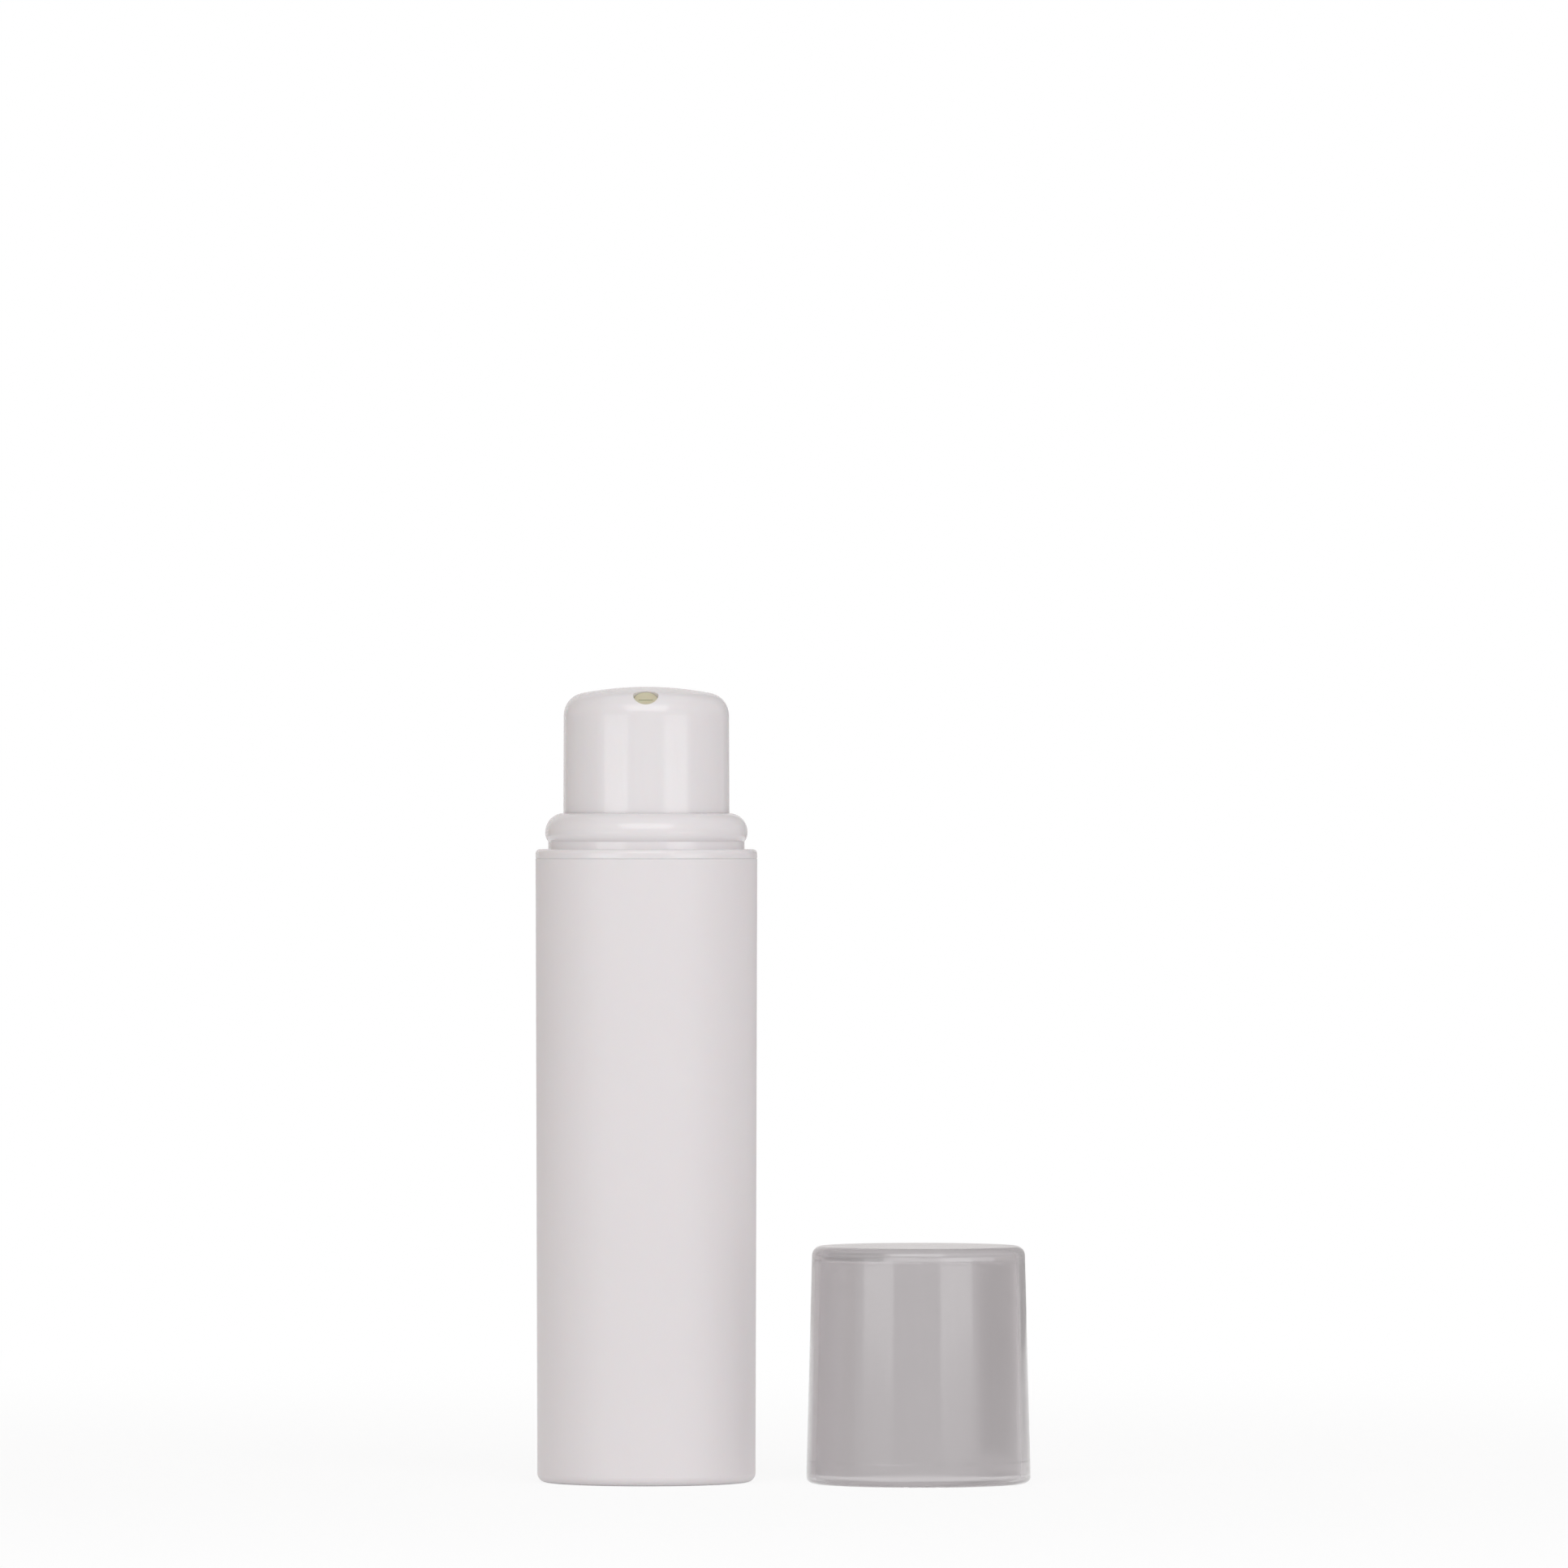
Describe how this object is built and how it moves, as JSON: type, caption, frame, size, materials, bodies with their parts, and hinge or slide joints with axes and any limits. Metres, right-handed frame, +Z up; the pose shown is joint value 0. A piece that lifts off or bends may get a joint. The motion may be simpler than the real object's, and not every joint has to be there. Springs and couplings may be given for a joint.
{
  "type": "airless pump bottle",
  "caption": "Slim round airless pump bottle with a press-down head, slanted outlet in the head's front edge, snap collar and a translucent pull-off cap that stands beside it.",
  "frame": {"origin": "centre of the bottle's foot, on the table", "axes": "+Z up along the bottle, the outlet of the pump head points to -Y, the loose cap stands at +X"},
  "size_m": [0.0562, 0.0283, 0.0904],
  "materials": {
    "bottle_white": "satin white moulded polypropylene",
    "gloss_white": "polished white moulded polypropylene",
    "cap_grey": "translucent natural grey polypropylene",
    "valve_beige": "soft beige elastomer",
    "soft_white": "soft white polyethylene",
    "gasket_grey": "grey elastomer sheet",
    "pump_natural": "natural polypropylene",
    "ball_steel": "polished stainless ball",
    "spring_steel": "drawn stainless wire"
  },
  "bodies": {
    "container": {"bottle": "bottle_white", "collar": "gloss_white", "pump_gasket": "gasket_grey", "pump_housing": "pump_natural", "stem_guide": "pump_natural", "return_spring": "spring_steel"},
    "plunger": {"stem": "pump_natural", "valve_plug": "pump_natural"},
    "head": {"head_shell": "gloss_white", "head_core": "pump_natural", "outlet_valve": "valve_beige"},
    "piston": {"dosing_piston": "soft_white"},
    "inlet_valve": {"inlet_ball": "ball_steel"},
    "follower": {"follower_piston": "soft_white"},
    "cap": {"overcap": "cap_grey"}
  },
  "joints": [
    {"name": "head_press", "type": "slide", "parent": "container", "child": "plunger", "axis": [0, 0, -1], "range_m": [0, 0.0045], "stiffness_N_per_m": 800, "springref_m": -0.005, "deforming": ["return_spring"]},
    {"name": "head_turn", "type": "hinge", "parent": "plunger", "child": "head", "pos_m": [0, 0, 0.0768], "axis": [0, 0, 1], "continuous": true},
    {"name": "piston_lag", "type": "slide", "parent": "plunger", "child": "piston", "axis": [0, 0, 1], "range_m": [0, 0.0006]},
    {"name": "ball_lift", "type": "slide", "parent": "container", "child": "inlet_valve", "axis": [0, 0, 1], "range_m": [0, 0.0008]},
    {"name": "follower_rise", "type": "slide", "parent": "container", "child": "follower", "axis": [0, 0, 1], "range_m": [0, 0.04]},
    {"name": "cap_lift", "type": "slide", "parent": "container", "child": "cap", "axis": [0, 0, 1], "range_m": [0, 0.1]}
  ]
}
